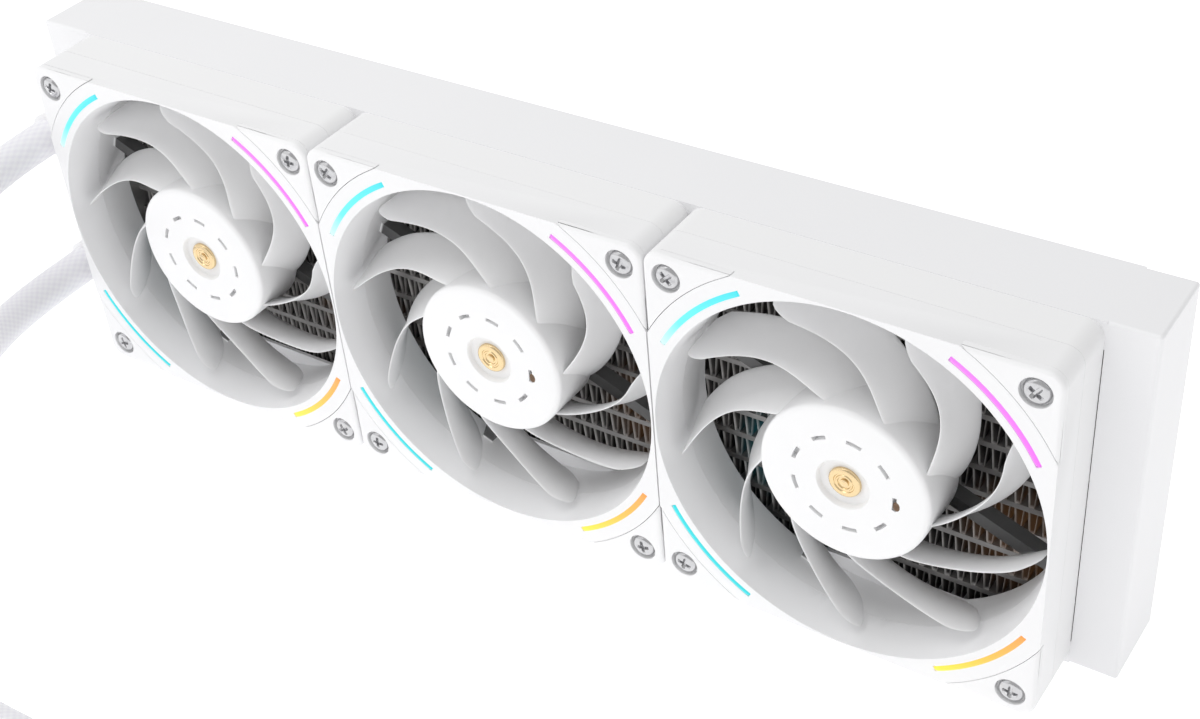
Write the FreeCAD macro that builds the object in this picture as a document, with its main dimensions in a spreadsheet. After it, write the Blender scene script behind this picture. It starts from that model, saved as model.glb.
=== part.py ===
"""Liquid cooling radiator: a 360 mm fin core between two end tanks, with three 120 mm
lit fans screwed to its front and two sleeved hoses that end in swivel elbows.

Row frame, millimetres: X runs along the radiator, +Y points to its back (the fans are on
the -Y side), +Z is up. The origin is the middle of the underside.
"""
import FreeCAD, Part
import math
import os
import Sketcher

V = FreeCAD.Vector
X_AXIS = V(1, 0, 0)
Y_AXIS = V(0, 1, 0)
Z_AXIS = V(0, 0, 1)

doc = FreeCAD.newDocument("Radiator")

# ---------------------------------------------------------------- driving dimensions
SIZES = [
    ("height", 120.0, "radiator height, across the tubes"),
    ("depth", 27.0, "radiator thickness, front face to back face"),
    ("core_length", 360.0, "length between the tanks"),
    ("port_tank_length", 20.0, "tank with the two hose ports"),
    ("return_tank_length", 14.0, "tank that turns the coolant back"),
    ("tank_wall", 1.5, "tank sheet"),
    ("tank_round", 1.0, "rounding of the tanks' outer edges"),
    ("header_thick", 1.5, "slotted plate that closes a tank"),
    ("rail_sheet", 1.2, "side rail sheet"),
    ("flange", 8.5, "side rail flange, which takes the screws"),
    ("back_flange", 11.5, "side rail flange with the free holes"),
    ("core_depth", 16.0, "width of the flat tubes and the fins"),
    ("tube_height", 1.8, "outer height of a flat tube"),
    ("tube_wall", 0.3, "wall of a flat tube"),
    ("tube_pitch", 9.14, "spacing of the flat tubes"),
    ("tube_entry", 2.0, "how far a tube stands into the tank"),
    ("fin_sheet", 0.25, "thickness of a fin strip"),
    ("fin_fold", 6.0, "length of one fold of a fin strip"),
    ("port_spread", 53.0, "distance between the two hose ports"),
    ("port_bore", 3.2, "inner radius of a port"),
    ("barb_radius", 4.9, "outer radius of a port stub"),
    ("ferrule_radius", 7.75, "crimped ferrule"),
    ("ferrule_length", 18.0, "crimped ferrule"),
    ("hose_radius", 6.25, "sleeved hose"),
    ("hose_bore", 3.5, "inner radius of the hose"),
    ("fan_pitch", 120.0, "fan spacing along the radiator"),
    ("fan_side", 119.6, "width and height of a fan"),
    ("fan_depth", 25.0, "fan thickness"),
    ("bezel_depth", 12.5, "front half of the fan housing"),
    ("fan_corner", 5.0, "corner radius of the fan housing"),
    ("hole_spacing", 105.0, "fan screw spacing"),
    ("hole_radius", 2.2, "fan screw hole"),
    ("screw_hole", 1.5, "hole in the front rail flange, filled by a fan screw"),
    ("back_hole", 1.75, "free hole in the back rail flange"),
    ("duct_front", 59.2, "duct radius at the front face"),
    ("duct_rear", 57.6, "duct radius behind the front half"),
    ("cap_inner", 68.0, "inner edge of the corner caps"),
    ("cap_depth", 2.5, "thickness of the corner caps"),
    ("cap_gap", 0.15, "seam around a corner cap"),
    ("light_radius", 62.6, "middle radius of the light arcs"),
    ("light_width", 1.7, "width of the light arcs"),
    ("light_depth", 2.5, "depth of the light arcs"),
    ("light_half_angle", 16.5, "half the angle of a light arc"),
    ("head_radius", 3.75, "screw head"),
    ("head_recess", 4.5, "recess around a screw head"),
    ("head_height", 2.4, "screw head"),
    ("head_proud", 0.5, "screw head in front of the fan's face"),
    ("screw_radius", 1.45, "screw shank"),
    ("screw_length", 28.0, "screw shank"),
    ("head_round", 1.2, "rounding of a screw head"),
    ("cross_length", 4.0, "screw cross"),
    ("cross_width", 0.9, "screw cross"),
    ("cross_depth", 1.6, "screw cross"),
    ("cup_radius", 21.0, "motor cup at the back of a fan"),
    ("cup_floor", 2.0, "floor of the motor cup"),
    ("post_radius", 5.0, "bearing holder"),
    ("post_top", 15.5, "front end of the bearing holder, from the fan's back"),
    ("strut_width", 4.0, "motor struts"),
    ("strut_depth", 5.0, "motor struts"),
    ("bearing_radius", 3.1, "outer radius of the bearing"),
    ("bearing_bore", 1.55, "inner radius of the bearing"),
    ("shaft_radius", 1.5, "fan shaft"),
    ("board_radius", 18.5, "circuit board"),
    ("board_thick", 1.2, "circuit board"),
    ("bearing_back", 3.0, "back end of the bearing, from the fan's back"),
    ("shaft_back", 3.5, "back end of the shaft, from the fan's back"),
    ("stator_radius", 19.8, "outer radius of the stator"),
    ("stator_sleeve", 8.0, "stator's sleeve on the bearing holder"),
    ("stator_front", 17.0, "front end of the stator, from the fan's back"),
    ("stator_back", 8.0, "back end of the stator, from the fan's back"),
    ("arm_root", 6.5, "inner end of a stator arm"),
    ("arm_length", 12.0, "stator arm"),
    ("arm_width", 5.5, "stator arm"),
    ("shoe_depth", 1.8, "pole shoe"),
    ("shoe_half_angle", 22.0, "half the angle of a pole shoe"),
    ("hub_radius", 26.0, "rotor hub"),
    ("hub_cavity", 23.0, "inside radius of the hub"),
    ("hub_face", 23.5, "hub face, from the fan's back"),
    ("hub_skirt", 5.5, "back end of the hub, from the fan's back"),
    ("hub_top", 3.2, "thickness of the hub's front wall"),
    ("hub_round", 1.2, "bevel around the hub's face"),
    ("boss_radius", 4.5, "boss that holds the shaft"),
    ("boss_length", 3.2, "boss that holds the shaft"),
    ("bowl_radius", 7.8, "recess in the middle of the hub"),
    ("bowl_depth", 1.8, "recess in the middle of the hub"),
    ("nut_radius", 4.9, "polished nut in the recess"),
    ("nut_height", 1.0, "polished nut in the recess"),
    ("dash_radius", 15.6, "ring of short slots in the hub"),
    ("dash_length", 4.6, "one short slot"),
    ("dash_width", 1.0, "one short slot"),
    ("magnet_inner", 21.2, "magnet ring"),
    ("magnet_front", 19.0, "front end of the magnet ring, from the fan's back"),
    ("magnet_back", 6.0, "back end of the magnet ring, from the fan's back"),
    ("blade_front", 22.6, "front edge of the blades, from the fan's back"),
    ("blade_back", 5.5, "back edge of the blades, from the fan's back"),
    ("blade_thick", 1.5, "blade thickness at mid span"),
    ("blade_camber", 1.6, "how far a blade section bows"),
    ("elbow_radius", 7.5, "turning elbow at a hose end"),
    ("elbow_arm", 14.0, "ferrule face to the elbow's axis"),
    ("elbow_foot", 0.5, "underside of the elbow above the floor"),
    ("stem_top", 17.5, "top of the elbow's body above the floor"),
    ("collar_radius", 9.0, "collar of the elbow"),
    ("collar_height", 4.0, "collar of the elbow"),
    ("channel", 2.9, "inner radius of the ferrule, elbow and spigot"),
    ("spigot_radius", 5.0, "spigot of the elbow"),
    ("spigot_top", 32.0, "height of the spigot's end above the floor"),
    ("seal_height", 24.5, "height of the seal's middle above the floor"),
    ("seal_thick", 0.88, "radius of the seal's section"),
    ("seal_groove", 1.1, "depth and half height of the seal's groove"),
]
sheet = doc.addObject("Spreadsheet::Sheet", "Dims")
for row, (alias, size, note) in enumerate(SIZES, start=1):
    sheet.set(f"A{row}", note)
    sheet.set(f"B{row}", str(size))
    sheet.setAlias(f"B{row}", alias)
doc.recompute()

TUBE_COUNT = 12
BLADE_COUNT = 9
FAN_PHASES = (-24.5, -27.5, -7.0)      # angle of one blade tip on each fan at rest
DASH_START = -2.0                      # angle of one hub slot
STRUT_COUNT = 4
POLE_COUNT = 6


def cells(text):
    """Turn a formula in cell names into a FreeCAD expression on the sheet."""
    for alias, _, _ in sorted(SIZES, key=lambda item: -len(item[0])):
        text = text.replace(f"<{alias}>", f"Dims.{alias}")
    return text


def size_of(text):
    """The number that a formula in cell names gives."""
    return float(sheet.evalExpression(cells(text)))


def bind(thing, prop, text):
    thing.setExpression(prop, cells(text))


def place(thing, x="0", y="0", z="0"):
    for axis, text in zip("xyz", (x, y, z)):
        bind(thing, f"Placement.Base.{axis}", text)
    return thing


nodes = []


def node(thing, label):
    """Mark an object as a finished sub-part."""
    thing.Label = label
    nodes.append(thing)
    return thing


# ---------------------------------------------------------------- primitives and booleans
TURN_Z_TO_Y = FreeCAD.Rotation(X_AXIS, -90)


def box(x, y, z):
    """A block from three pairs of formulas, low and high along each axis."""
    thing = doc.addObject("Part::Box", "Block")
    for prop, (low, high) in zip(("Length", "Width", "Height"), (x, y, z)):
        bind(thing, prop, f"({high}) - ({low})")
    return place(thing, x[0], y[0], z[0])


def rod(radius, low, high, x="0", z="0"):
    """A cylinder along Y from low to high."""
    thing = doc.addObject("Part::Cylinder", "Rod")
    bind(thing, "Radius", radius)
    bind(thing, "Height", f"({high}) - ({low})")
    thing.Placement = FreeCAD.Placement(V(), TURN_Z_TO_Y)
    return place(thing, x, low, z)


def cone(front_radius, back_radius, low, high):
    thing = doc.addObject("Part::Cone", "Taper")
    bind(thing, "Radius1", front_radius)
    bind(thing, "Radius2", back_radius)
    bind(thing, "Height", f"({high}) - ({low})")
    thing.Placement = FreeCAD.Placement(V(), TURN_Z_TO_Y)
    return place(thing, "0", low, "0")


def cut(base, *tools):
    thing = doc.addObject("Part::Cut", "Cut")
    thing.Base = base
    thing.Tool = tools[0] if len(tools) == 1 else group(*tools)
    thing.Refine = False
    return thing


def fuse(*shapes):
    thing = doc.addObject("Part::MultiFuse", "Union")
    thing.Shapes = list(shapes)
    thing.Refine = False
    return thing


def group(*shapes):
    thing = doc.addObject("Part::Compound", "Group")
    thing.Links = list(shapes)
    return thing


def round_edges(base, wanted, radius):
    """Round the edges of base for which wanted(edge) is true."""
    doc.recompute()
    thing = doc.addObject("Part::Fillet", "Rounded")
    thing.Base = base
    size = size_of(radius)
    picked = [number for number, edge in enumerate(base.Shape.Edges, start=1) if wanted(edge)]
    thing.Edges = [(number, size, size) for number in picked]
    return thing


def runs_along(direction):
    """A test for straight edges that run along a direction."""
    def test(edge):
        return (isinstance(edge.Curve, (Part.Line, Part.LineSegment))
                and abs(edge.tangentAt(edge.FirstParameter).dot(direction)) > 0.99)
    return test


def drawn(shape):
    """A feature whose shape is made by Part's own functions from the sheet's sizes."""
    thing = doc.addObject("Part::Feature", "Drawn")
    thing.Shape = shape
    return thing


# ---------------------------------------------------------------- sketches and bodies
def new_body(name):
    return doc.addObject("PartDesign::Body", name)


def sketch_on(body, role):
    sketch = body.newObject("Sketcher::SketchObject", "Sketch")
    plane = next(item for item in body.Origin.OriginFeatures if item.Role == role)
    sketch.AttachmentSupport = (plane, [""])
    sketch.MapMode = "FlatFace"
    return sketch


def fix_point(sketch, line, end, across, up):
    """Hold a point of the sketch at a formula across and a formula up."""
    for kind, text in (("DistanceX", across), ("DistanceY", up)):
        number = sketch.addConstraint(Sketcher.Constraint(kind, -1, 1, line, end, size_of(text)))
        sketch.setExpression(f"Constraints[{number}]", cells(text))


def draw_outline(sketch, corners):
    """A closed outline of straight lines through corners given as formulas."""
    spots = [V(size_of(across), size_of(up), 0) for across, up in corners]
    first = sketch.GeometryCount
    for start, end in zip(spots, spots[1:] + spots[:1]):
        sketch.addGeometry(Part.LineSegment(start, end), False)
    for step, (across, up) in enumerate(corners):
        before = first + (step - 1) % len(corners)
        sketch.addConstraint(Sketcher.Constraint("Coincident", before, 2, first + step, 1))
        fix_point(sketch, first + step, 1, across, up)


def draw_rectangle(sketch, left, bottom, right, top):
    draw_outline(sketch, [(left, bottom), (right, bottom), (right, top), (left, top)])


def draw_circle(sketch, across, up, radius):
    """A full circle at formulas across and up."""
    middle = V(size_of(across), size_of(up), 0)
    number = sketch.addGeometry(Part.Circle(middle, Z_AXIS, size_of(radius)), False)
    fix_point(sketch, number, 3, across, up)
    held = sketch.addConstraint(Sketcher.Constraint("Radius", number, size_of(radius)))
    sketch.setExpression(f"Constraints[{held}]", cells(radius))


def pad(body, sketch, length, midplane=True):
    feature = body.newObject("PartDesign::Pad", "Pad")
    feature.Profile = sketch
    feature.Midplane = midplane
    bind(feature, "Length", length)
    return feature


def pocket_through(body, sketch):
    """Cut the sketch right through the body, and check that something went away."""
    doc.recompute()
    before = body.Shape.Volume
    feature = body.newObject("PartDesign::Pocket", "Pocket")
    feature.Profile = sketch
    feature.Type = 1
    feature.Midplane = True
    doc.recompute()
    assert feature.Shape.Volume < before - 1.0, f"{body.Label}: the pocket cuts nothing"
    return feature


def revolve(body, sketch, reference):
    feature = body.newObject("PartDesign::Revolution", "Turned")
    feature.Profile = sketch
    feature.ReferenceAxis = reference
    feature.Angle = 360
    return feature


# ---------------------------------------------------------------- radiator core
FRONT = "(-<depth>/2)"
BACK = "(<depth>/2)"
LEFT = "(-<core_length>/2)"
RIGHT = "(<core_length>/2)"
MIDDLE = "(<height>/2)"


def side_rail(name, upper):
    """A channel of folded sheet: its web covers the core and its flanges hold the screws."""
    rail = new_body("Rail")
    profile = sketch_on(rail, "YZ_Plane")
    if upper:
        web, inner, tip = "<height>", "<height> - <rail_sheet>", "<height> - <flange>"
        back_tip = "<height> - <back_flange>"
    else:
        web, inner, tip = "0", "<rail_sheet>", "<flange>"
        back_tip = "<back_flange>"
    draw_outline(profile, [
        (FRONT, web), (BACK, web), (BACK, back_tip), (f"{BACK} - <rail_sheet>", back_tip),
        (f"{BACK} - <rail_sheet>", inner), (f"{FRONT} + <rail_sheet>", inner),
        (f"{FRONT} + <rail_sheet>", tip), (FRONT, tip)])
    pad(rail, profile, "<core_length>")
    level = f"{MIDDLE} + <hole_spacing>/2" if upper else f"{MIDDLE} - <hole_spacing>/2"
    holes = []
    for fan in (-1, 0, 1):
        for side in (-1, 1):
            spot = f"{fan}*<fan_pitch> + {side}*<hole_spacing>/2"
            holes.append(rod("<screw_hole>", f"{FRONT} - 1", f"{FRONT} + <rail_sheet> + 1",
                             spot, level))
            holes.append(rod("<back_hole>", f"{BACK} - <rail_sheet> - 1", f"{BACK} + 1",
                             spot, level))
    return node(cut(rail, *holes), name)


side_rail("top_side_rail", upper=True)
side_rail("bottom_side_rail", upper=False)

tube_levels = [f"{MIDDLE} + ({number} - {(TUBE_COUNT - 1) / 2})*<tube_pitch>"
               for number in range(TUBE_COUNT)]


def header(name, low, high):
    """The plate between the core and a tank, with one slot for each flat tube."""
    plate = new_body(name)
    outline = sketch_on(plate, "YZ_Plane")
    inset = "<tank_wall>"
    draw_rectangle(outline, f"{FRONT} + {inset}", inset, f"{BACK} - {inset}",
                   f"<height> - {inset}")
    pad(plate, outline, f"({high}) - ({low})")
    slots = sketch_on(plate, "YZ_Plane")
    for level in tube_levels:
        draw_rectangle(slots, "-<core_depth>/2", f"{level} - <tube_height>/2",
                       "<core_depth>/2", f"{level} + <tube_height>/2")
    pocket_through(plate, slots)
    place(plate, f"(({low}) + ({high}))/2")
    return node(plate, name)


header("port_header", f"{LEFT} - <header_thick>", LEFT)
header("return_header", RIGHT, f"{RIGHT} + <header_thick>")


def tank(name, outer, mouth, side, ports):
    """A folded sheet box, open towards the core. side is the way from outer to mouth."""
    low, high = (outer, mouth) if side > 0 else (mouth, outer)
    block = box((low, high), (FRONT, BACK), ("0", "<height>"))

    def outer_edge(edge):
        mouth_x = size_of(mouth)
        return any(abs(vertex.X - mouth_x) > 1 for vertex in edge.Vertexes)

    shell = round_edges(block, outer_edge, "<tank_round>")
    hollow_low = f"{outer} + <tank_wall>" if side > 0 else f"{mouth} - 1"
    hollow_high = f"{mouth} + 1" if side > 0 else f"{outer} - <tank_wall>"
    hollow = box((hollow_low, hollow_high), (f"{FRONT} + <tank_wall>", f"{BACK} - <tank_wall>"),
                 ("<tank_wall>", "<height> - <tank_wall>"))
    tools = [hollow]
    for sign in ports:
        tools.append(rod("<barb_radius>", f"{FRONT} - 1", f"{FRONT} + <tank_wall> + 1",
                         f"{LEFT} - <port_tank_length>/2", f"{MIDDLE} + {sign}*<port_spread>/2"))
    return node(cut(shell, *tools), name)


tank("port_tank", f"({LEFT} - <port_tank_length>)", LEFT, 1, ports=(-1, 1))
tank("return_tank", f"({RIGHT} + <return_tank_length>)", RIGHT, -1, ports=())
tank_back = f"{LEFT} - <port_tank_length> + <tank_wall>"
node(box((tank_back, f"{LEFT} - <header_thick> - <tube_entry>"),
         (f"{FRONT} + <tank_wall>", f"{BACK} - <tank_wall>"),
         (f"{MIDDLE} - <tank_wall>/2", f"{MIDDLE} + <tank_wall>/2")), "flow_divider")


def flat_tube(level):
    """One flat coolant tube, open at both ends."""
    ends = (f"{LEFT} - <tube_entry>", f"{RIGHT} + <tube_entry>")
    outside = box(ends, ("-<core_depth>/2", "<core_depth>/2"),
                  (f"{level} - <tube_height>/2", f"{level} + <tube_height>/2"))
    wall = "<tube_wall>"
    inside = box((f"{ends[0]} - 1", f"{ends[1]} + 1"),
                 (f"-<core_depth>/2 + {wall}", f"<core_depth>/2 - {wall}"),
                 (f"{level} - <tube_height>/2 + {wall}", f"{level} + <tube_height>/2 - {wall}"))
    return cut(outside, inside)


node(group(*[flat_tube(level) for level in tube_levels]), "coolant_tubes")


def fin_strip(low, high):
    """A folded fin: a zigzag of thin sheet, from low to high, all along the core."""
    sheet_gap = size_of("<fin_sheet>")
    start = size_of(f"{LEFT} + 0.5")
    folds = int(size_of("(<core_length> - 1)/<fin_fold>"))
    step = size_of("(<core_length> - 1)") / folds / 2
    crest = [V(start + count * step, 0, low if count % 2 else high - sheet_gap)
             for count in range(2 * folds + 1)]
    lower = [point + V(0, 0, sheet_gap) for point in crest]
    wire = Part.makePolygon(crest + lower[::-1] + crest[:1])
    face = Part.Face(wire)
    strip = face.extrude(V(0, size_of("<core_depth>"), 0))
    strip.translate(V(0, -size_of("<core_depth>/2"), 0))
    return strip


tube_height = size_of("<tube_height>")
walls = [size_of(level) for level in tube_levels]
rail_inside = size_of("<rail_sheet>")
gaps = [(rail_inside, walls[0] - tube_height / 2)]
gaps += [(below + tube_height / 2, above - tube_height / 2)
         for below, above in zip(walls, walls[1:])]
gaps.append((walls[-1] + tube_height / 2, size_of("<height>") - rail_inside))
node(drawn(Part.makeCompound([fin_strip(low, high) for low, high in gaps])), "fin_strips")


# ---------------------------------------------------------------- fans
BEZEL_BACK = "(-<fan_depth> + <bezel_depth>)"
FACE = "(-<fan_depth>)"
HEAD_SEAT = "(-<fan_depth> - <head_proud> + <head_height>)"
HALF_SIDE = "(<fan_side>/2)"
HALF_SPACING = "(<hole_spacing>/2)"
CORNERS = ((-1, -1), (1, -1), (1, 1), (-1, 1))


def housing_block(front, back):
    """The fan's square, with rounded corners."""
    block = box((f"-{HALF_SIDE}", HALF_SIDE), (front, back), (f"-{HALF_SIDE}", HALF_SIDE))
    return round_edges(block, runs_along(Y_AXIS), "<fan_corner>")


def corner_rods(radius, front, back):
    return [rod(radius, front, back, f"{i}*{HALF_SPACING}", f"{j}*{HALF_SPACING}")
            for i, j in CORNERS]


def arc_band(inner, outer, front, back, angle):
    """A ring segment about the fan's axis, in the light arcs' half angle about angle."""
    ring = drawn_ring(inner, outer, front, back, size_of("2*<light_half_angle>"))
    turned = FreeCAD.Rotation(Y_AXIS, -angle - size_of("<light_half_angle>"))
    ring.Placement = FreeCAD.Placement(V(), turned) * ring.Placement
    return ring


def drawn_ring(inner, outer, front, back, sweep):
    """A ring segment that starts on +X: two cylinders of that angle, one cut away."""
    parts = []
    for radius in (outer, inner):
        part = rod(radius, front, back)
        part.Angle = sweep
        parts.append(part)
    return cut(*parts)


def fan_frame():
    """Back half of the housing: duct, motor cup, bearing holder and struts."""
    ring = cut(housing_block(BEZEL_BACK, "0"), rod("<duct_rear>", f"{BEZEL_BACK} - 1", "1"),
               *corner_rods("<hole_radius>", f"{BEZEL_BACK} - 1", "1"))
    floor = rod("<cup_radius>", "-<cup_floor>", "0")
    post = rod("<post_radius>", "-<post_top>", "0")
    struts = []
    for number in range(STRUT_COUNT):
        strut = box(("<cup_radius> - 2", "<duct_rear> + 0.5"), ("-<strut_depth>", "0"),
                    ("-<strut_width>/2", "<strut_width>/2"))
        spin = FreeCAD.Rotation(Y_AXIS, 22 + number * 360 / STRUT_COUNT)
        strut.Placement.Rotation = spin
        shift = spin.multVec(V(size_of("<cup_radius>") - 2, 0, -size_of("<strut_width>/2")))
        strut.setExpression("Placement.Base.x", None)
        strut.setExpression("Placement.Base.z", None)
        strut.Placement.Base = V(shift.x, -size_of("<strut_depth>"), shift.z)
        struts.append(strut)
    return cut(fuse(ring, floor, post, *struts), rod("<bearing_radius>", "-<post_top> - 1", "1"))


def light_slots(clearance):
    inner = f"<light_radius> - <light_width>/2 - {clearance}"
    outer = f"<light_radius> + <light_width>/2 + {clearance}"
    return [arc_band(inner, outer, FACE, f"{FACE} + <light_depth>", angle)
            for angle in (45, 135, 225, 315)]


def corner_region(front, back, inner):
    """The four corners of the fan's square outside a circle."""
    return cut(housing_block(front, back), rod(inner, f"{front} - 1", f"{back} + 1"))


def fan_bezel():
    """Front half of the housing, with seats for the corner caps and the light arcs."""
    block = housing_block(FACE, BEZEL_BACK)
    duct = cone("<duct_front>", "<duct_rear>", FACE, BEZEL_BACK)
    seats = corner_region(FACE, f"{FACE} + <cap_depth>", "<cap_inner> - <cap_gap>")
    holes = corner_rods("<hole_radius>", f"{FACE} - 1", f"{BEZEL_BACK} + 1")
    return cut(block, duct, seats, *light_slots("0"), *holes)


def corner_caps():
    """Four corner covers; each screw head sits in a recess of its cap."""
    region = corner_region(FACE, f"{FACE} + <cap_depth>", "<cap_inner>")
    rounded = round_edges(region, front_rim, "1.2")
    return cut(rounded, *corner_rods("<head_recess>", f"{FACE} - 1", HEAD_SEAT),
               *corner_rods("<hole_radius>", f"{FACE} - 1", f"{FACE} + <cap_depth> + 1"))


def front_rim(edge):
    """The outer edges of the fan's front face."""
    middle = edge.valueAt((edge.FirstParameter + edge.LastParameter) / 2)
    half = size_of(HALF_SIDE)
    reach = max(abs(middle.x), abs(middle.z))
    flat = abs(edge.BoundBox.YLength) < 0.01 and abs(middle.y - size_of(FACE)) < 0.01
    return flat and reach > half - 2


def screws():
    """Four pan head screws, with their heads at the front."""
    whole = []
    for i, j in CORNERS:
        x, z = f"{i}*{HALF_SPACING}", f"{j}*{HALF_SPACING}"
        head = rod("<head_radius>", f"{FACE} - <head_proud>", HEAD_SEAT, x, z)
        head = round_edges(head, lambda edge: isinstance(edge.Curve, Part.Circle)
                           and edge.BoundBox.YMax < size_of(FACE), "<head_round>")
        shank = rod("<screw_radius>", f"{HEAD_SEAT} - 0.5", f"{HEAD_SEAT} + <screw_length>", x, z)
        whole.append(cut(fuse(head, shank), *cross_recess(i, j)))
    return group(*whole)


def cross_recess(i, j):
    """The two slots of the screw's cross."""
    x, z = f"{i}*{HALF_SPACING}", f"{j}*{HALF_SPACING}"
    depth = (f"{FACE} - <head_proud> - 1", f"{FACE} - <head_proud> + <cross_depth>")
    long_x, long_z = [(f"{c} - <cross_length>/2", f"{c} + <cross_length>/2") for c in (x, z)]
    thin_x, thin_z = [(f"{c} - <cross_width>/2", f"{c} + <cross_width>/2") for c in (x, z)]
    across = box(long_x, depth, thin_z)
    upright = box(thin_x, depth, long_z)
    return across, upright


def stator():
    """Laminated core: a sleeve on the bearing holder, wound arms and pole shoes."""
    low, high = "-<stator_front>", "-<stator_back>"
    core = cut(rod("<stator_sleeve>", low, high),
               rod("<post_radius>", f"{low} - 1", f"{high} + 1"))
    half_angle = size_of("<shoe_half_angle>")
    arms = []
    for number in range(POLE_COUNT):
        angle = number * 360 / POLE_COUNT
        arm = drawn(Part.makeBox(size_of("<arm_length>"), size_of(f"{high} - ({low})"),
                                 size_of("<arm_width>"),
                                 V(size_of("<arm_root>"), size_of(low), size_of("-<arm_width>/2"))))
        arm.Placement = FreeCAD.Placement(V(), FreeCAD.Rotation(Y_AXIS, angle))
        shoe = drawn_ring("<stator_radius> - <shoe_depth>", "<stator_radius>", low, high,
                          2 * half_angle)
        shoe.Placement = FreeCAD.Placement(V(), FreeCAD.Rotation(Y_AXIS, angle - half_angle))
        arms += [arm, shoe]
    return fuse(core, *arms)


def hub():
    """Rotor hub: a turned cup with a bowl in its face and a boss that holds the shaft."""
    body = new_body("Hub")
    half = sketch_on(body, "XY_Plane")
    face, inside, skirt = "-<hub_face>", "(-<hub_face> + <hub_top>)", "-<hub_skirt>"
    draw_outline(half, [
        ("<shaft_radius>", f"{face} + <bowl_depth>"), ("<bowl_radius>", f"{face} + <bowl_depth>"),
        ("<bowl_radius> + 0.4", face), ("<hub_radius> - <hub_round>", face),
        ("<hub_radius>", f"{face} + <hub_round>"), ("<hub_radius>", skirt),
        ("<hub_cavity>", skirt), ("<hub_cavity>", inside), ("<boss_radius>", inside),
        ("<boss_radius>", f"{inside} + <boss_length>"),
        ("<shaft_radius>", f"{inside} + <boss_length>")])
    revolve(body, half, (half, ["V_Axis"]))
    return body


def dash(number):
    """One short slot in the hub's face, along the ring of slots."""
    angle = DASH_START + number * 360 / BLADE_COUNT
    slot = drawn(Part.makeBox(size_of("<dash_width>"), 1.5, size_of("<dash_length>"),
                              V(size_of("<dash_radius> - <dash_width>/2"),
                                -size_of("<hub_face>") - 0.5, -size_of("<dash_length>/2"))))
    slot.Placement = FreeCAD.Placement(V(), FreeCAD.Rotation(Y_AXIS, -angle))
    return slot


# Blade stations: distance from the axis, angle that the front edge trails the tip's front
# corner, and the slope of the chord from the fan's plane, all at that distance.
BLADE_STATIONS = ((24.5, 42.0, 50.0), (31.0, 31.0, 52.0), (38.0, 20.0, 53.0),
                  (46.0, 10.5, 54.0), (52.0, 4.5, 56.0), (55.0, 1.5, 62.0))


def blade_section(distance, trail, slope, phase):
    """One blade section: a cambered strip in the plane square to its radius."""
    front, back = -size_of("<blade_front>"), -size_of("<blade_back>")
    drop = back - front
    spread = drop / math.tan(math.radians(slope))
    front_angle = math.radians(phase - trail)
    middle_angle = front_angle - spread / 2 / distance
    outward = V(math.cos(middle_angle), 0, math.sin(middle_angle))
    along = V(-math.sin(middle_angle), 0, math.cos(middle_angle))
    half_thick = size_of("<blade_thick>/2")
    camber = size_of("<blade_camber>")
    sides = []
    for sign in (1, -1):
        row = []
        for share in (0.0, 0.25, 0.5, 0.75, 1.0):
            bulge = camber * math.sin(math.pi * share) ** 2
            thick = sign * half_thick * (0.45 + 0.55 * math.sin(math.pi * share))
            across = spread * (0.5 - share) + thick * math.sin(math.radians(slope)) + bulge
            depth = front + drop * share + thick * math.cos(math.radians(slope))
            row.append(outward * distance + along * across + Y_AXIS * depth)
        sides.append(row)
    upper, lower = sides
    edges = []
    for row in (upper, lower[::-1]):
        curve = Part.BSplineCurve()
        curve.interpolate(row)
        edges.append(curve.toShape())
    edges.insert(1, Part.LineSegment(upper[-1], lower[-1]).toShape())
    edges.append(Part.LineSegment(lower[0], upper[0]).toShape())
    return Part.Wire(edges)


def blade(phase):
    sections = [blade_section(*station, phase) for station in BLADE_STATIONS]
    return drawn(Part.makeLoft(sections, True, False))


def rotor(phase):
    """Hub with its nine swept blades, in one moulding."""
    blades = [blade(phase + number * 360 / BLADE_COUNT) for number in range(BLADE_COUNT)]
    moulding = fuse(hub(), *blades)
    return cut(moulding, *[dash(number) for number in range(BLADE_COUNT)])


def circuit_board():
    body = new_body("Board")
    ring = sketch_on(body, "XZ_Plane")
    draw_circle(ring, "0", "0", "<board_radius>")
    draw_circle(ring, "0", "0", "<post_radius>")
    pad(body, ring, "<board_thick>")
    return body


def make_fan(number, step, phase):
    """All the pieces of one fan, built about its own axis with its back on Y = 0."""
    nut_back = "(-<hub_face> + <bowl_depth>)"
    pieces = {
        "frame": fan_frame(),
        "bezel": fan_bezel(),
        "corner_caps": corner_caps(),
        "light_guides": group(*light_slots("-0.05")),
        "screws": screws(),
        "stator": stator(),
        "bearing": cut(rod("<bearing_radius>", "-<post_top>", "-<bearing_back>"),
                       rod("<bearing_bore>", "-<post_top> - 1", "-<bearing_back> + 1")),
        "shaft": group(rod("<shaft_radius>", nut_back, "-<shaft_back>")),
        "rotor": rotor(phase),
        "magnet_ring": cut(rod("<hub_cavity>", "-<magnet_front>", "-<magnet_back>"),
                           rod("<magnet_inner>", "-<magnet_front> - 1", "-<magnet_back> + 1")),
        "hub_nut": cut(rod("<nut_radius>", f"{nut_back} - <nut_height>", nut_back),
                       rod("<shaft_radius>", f"{nut_back} - <nut_height> - 1",
                           f"{nut_back} - <nut_height> + 0.6")),
    }
    for name, piece in pieces.items():
        node(place(piece, f"{step}*<fan_pitch>", FRONT, MIDDLE), f"fan_{number}_{name}")
    board = place(circuit_board(), f"{step}*<fan_pitch>", f"{FRONT} - <cup_floor> - 3", MIDDLE)
    node(board, f"fan_{number}_circuit_board")


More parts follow.
